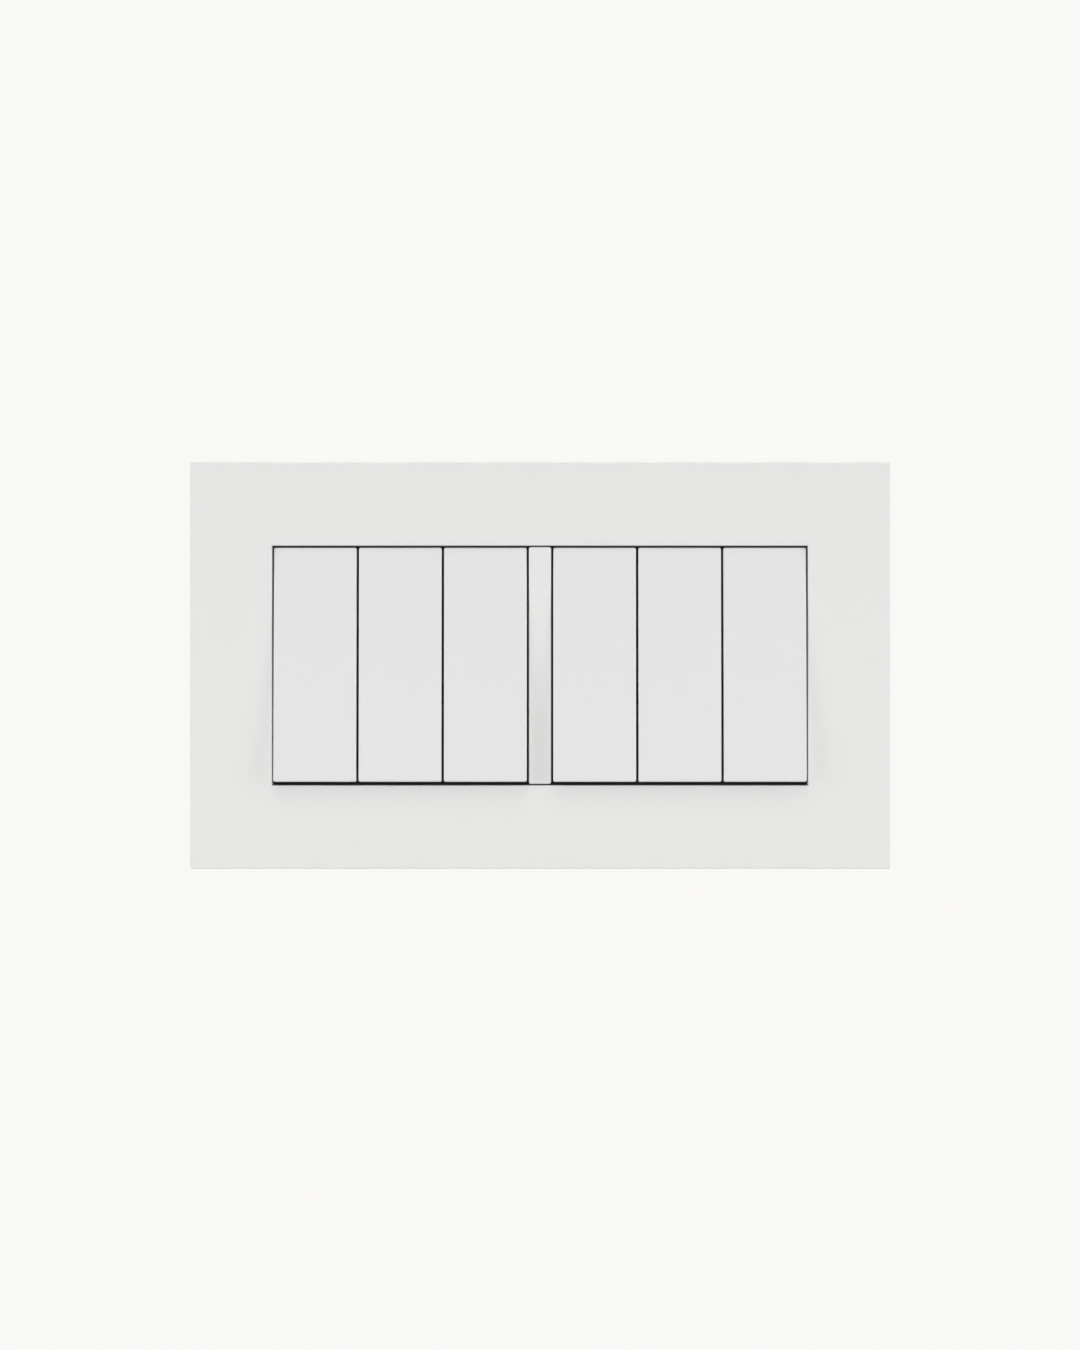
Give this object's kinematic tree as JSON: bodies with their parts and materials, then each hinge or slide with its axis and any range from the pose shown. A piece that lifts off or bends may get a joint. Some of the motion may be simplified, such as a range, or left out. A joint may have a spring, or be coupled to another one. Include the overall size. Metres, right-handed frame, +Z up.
{
  "type": "multi-gang light switch",
  "caption": "White flush wall plate with flat rocker switches in two groups of three, with two-way mechanisms and screw terminals in two rear bases.",
  "frame": {"origin": "middle of the plate's back plane, which lies on the wall", "axes": "+X right along the plate, +Y into the wall, +Z up; the front looks along -Y"},
  "size_m": [0.148, 0.034, 0.086],
  "materials": {
    "white_urea": "moulded urea, satin gloss",
    "white_key": "moulded polycarbonate, satin gloss",
    "charcoal_nylon": "glass-filled nylon, matt",
    "charcoal_phenolic": "moulded phenolic, matt",
    "natural_nylon": "natural nylon",
    "brass_strip": "pressed strip",
    "brass_screw": "turned",
    "silver_contact": "silver alloy",
    "spring_steel": "drawn wire",
    "zinc_steel": "bright zinc plate"
  },
  "bodies": {
    "root": {"cover_frame": "white_urea", "mounting_plate": "charcoal_nylon", "centre_bar": "white_urea", "left_base": "charcoal_phenolic", "right_base": "charcoal_phenolic", "l1_terminal_1": "brass_strip", "l2_terminal_1": "brass_strip", "common_terminal_1": "brass_strip", "l1_terminal_2": "brass_strip", "l2_terminal_2": "brass_strip", "common_terminal_2": "brass_strip", "l1_terminal_3": "brass_strip", "l2_terminal_3": "brass_strip", "common_terminal_3": "brass_strip", "l1_terminal_4": "brass_strip", "l2_terminal_4": "brass_strip", "common_terminal_4": "brass_strip", "l1_terminal_5": "brass_strip", "l2_terminal_5": "brass_strip", "common_terminal_5": "brass_strip", "l1_terminal_6": "brass_strip", "l2_terminal_6": "brass_strip", "common_terminal_6": "brass_strip", "fixed_contacts": "silver_contact", "terminal_screws": "brass_screw", "base_screws": "zinc_steel", "fixing_screws": "zinc_steel"},
    "rocker_1": {"rocker_1": "white_key", "spring_1": "spring_steel"},
    "plunger_1": {"plunger_1": "natural_nylon"},
    "contact_blade_1": {"contact_blade_1": "brass_strip", "moving_contacts_1": "silver_contact"},
    "rocker_2": {"rocker_2": "white_key", "spring_2": "spring_steel"},
    "plunger_2": {"plunger_2": "natural_nylon"},
    "contact_blade_2": {"contact_blade_2": "brass_strip", "moving_contacts_2": "silver_contact"},
    "rocker_3": {"rocker_3": "white_key", "spring_3": "spring_steel"},
    "plunger_3": {"plunger_3": "natural_nylon"},
    "contact_blade_3": {"contact_blade_3": "brass_strip", "moving_contacts_3": "silver_contact"},
    "rocker_4": {"rocker_4": "white_key", "spring_4": "spring_steel"},
    "plunger_4": {"plunger_4": "natural_nylon"},
    "contact_blade_4": {"contact_blade_4": "brass_strip", "moving_contacts_4": "silver_contact"},
    "rocker_5": {"rocker_5": "white_key", "spring_5": "spring_steel"},
    "plunger_5": {"plunger_5": "natural_nylon"},
    "contact_blade_5": {"contact_blade_5": "brass_strip", "moving_contacts_5": "silver_contact"},
    "rocker_6": {"rocker_6": "white_key", "spring_6": "spring_steel"},
    "plunger_6": {"plunger_6": "natural_nylon"},
    "contact_blade_6": {"contact_blade_6": "brass_strip", "moving_contacts_6": "silver_contact"}
  },
  "joints": [
    {"name": "rocker_1_tilt", "type": "hinge", "parent": "root", "child": "rocker_1", "pos_m": [-0.04755, -0.0044, 0], "axis": [1, 0, 0], "range_deg": [0, 5.5]},
    {"name": "blade_1_tilt", "type": "hinge", "parent": "root", "child": "contact_blade_1", "pos_m": [-0.04755, 0.01073, 0], "axis": [1, 0, 0], "range_deg": [-20, 0]},
    {"name": "plunger_1_slide", "type": "slide", "parent": "rocker_1", "child": "plunger_1", "axis": [0, -0.9988, 0.048], "range_m": [0, 0.0012], "stiffness_N_per_m": 400, "springref_m": -0.004, "deforming": ["spring_1"]},
    {"name": "rocker_2_tilt", "type": "hinge", "parent": "root", "child": "rocker_2", "pos_m": [-0.02955, -0.0044, 0], "axis": [1, 0, 0], "range_deg": [0, 5.5]},
    {"name": "blade_2_tilt", "type": "hinge", "parent": "root", "child": "contact_blade_2", "pos_m": [-0.02955, 0.01073, 0], "axis": [1, 0, 0], "range_deg": [-20, 0]},
    {"name": "plunger_2_slide", "type": "slide", "parent": "rocker_2", "child": "plunger_2", "axis": [0, -0.9988, 0.048], "range_m": [0, 0.0012], "stiffness_N_per_m": 400, "springref_m": -0.004, "deforming": ["spring_2"]},
    {"name": "rocker_3_tilt", "type": "hinge", "parent": "root", "child": "rocker_3", "pos_m": [-0.01155, -0.0044, 0], "axis": [1, 0, 0], "range_deg": [0, 5.5]},
    {"name": "blade_3_tilt", "type": "hinge", "parent": "root", "child": "contact_blade_3", "pos_m": [-0.01155, 0.01073, 0], "axis": [1, 0, 0], "range_deg": [-20, 0]},
    {"name": "plunger_3_slide", "type": "slide", "parent": "rocker_3", "child": "plunger_3", "axis": [0, -0.9988, 0.048], "range_m": [0, 0.0012], "stiffness_N_per_m": 400, "springref_m": -0.004, "deforming": ["spring_3"]},
    {"name": "rocker_4_tilt", "type": "hinge", "parent": "root", "child": "rocker_4", "pos_m": [0.01155, -0.0044, 0], "axis": [1, 0, 0], "range_deg": [0, 5.5]},
    {"name": "blade_4_tilt", "type": "hinge", "parent": "root", "child": "contact_blade_4", "pos_m": [0.01155, 0.01073, 0], "axis": [1, 0, 0], "range_deg": [-20, 0]},
    {"name": "plunger_4_slide", "type": "slide", "parent": "rocker_4", "child": "plunger_4", "axis": [0, -0.9988, 0.048], "range_m": [0, 0.0012], "stiffness_N_per_m": 400, "springref_m": -0.004, "deforming": ["spring_4"]},
    {"name": "rocker_5_tilt", "type": "hinge", "parent": "root", "child": "rocker_5", "pos_m": [0.02955, -0.0044, 0], "axis": [1, 0, 0], "range_deg": [0, 5.5]},
    {"name": "blade_5_tilt", "type": "hinge", "parent": "root", "child": "contact_blade_5", "pos_m": [0.02955, 0.01073, 0], "axis": [1, 0, 0], "range_deg": [-20, 0]},
    {"name": "plunger_5_slide", "type": "slide", "parent": "rocker_5", "child": "plunger_5", "axis": [0, -0.9988, 0.048], "range_m": [0, 0.0012], "stiffness_N_per_m": 400, "springref_m": -0.004, "deforming": ["spring_5"]},
    {"name": "rocker_6_tilt", "type": "hinge", "parent": "root", "child": "rocker_6", "pos_m": [0.04755, -0.0044, 0], "axis": [1, 0, 0], "range_deg": [0, 5.5]},
    {"name": "blade_6_tilt", "type": "hinge", "parent": "root", "child": "contact_blade_6", "pos_m": [0.04755, 0.01073, 0], "axis": [1, 0, 0], "range_deg": [-20, 0]},
    {"name": "plunger_6_slide", "type": "slide", "parent": "rocker_6", "child": "plunger_6", "axis": [0, -0.9988, 0.048], "range_m": [0, 0.0012], "stiffness_N_per_m": 400, "springref_m": -0.004, "deforming": ["spring_6"]}
  ],
  "couplings": [
    {"joint": "blade_1_tilt", "follows": "rocker_1_tilt", "ratio": -3.6364},
    {"joint": "blade_2_tilt", "follows": "rocker_2_tilt", "ratio": -3.6364},
    {"joint": "blade_3_tilt", "follows": "rocker_3_tilt", "ratio": -3.6364},
    {"joint": "blade_4_tilt", "follows": "rocker_4_tilt", "ratio": -3.6364},
    {"joint": "blade_5_tilt", "follows": "rocker_5_tilt", "ratio": -3.6364},
    {"joint": "blade_6_tilt", "follows": "rocker_6_tilt", "ratio": -3.6364}
  ]
}
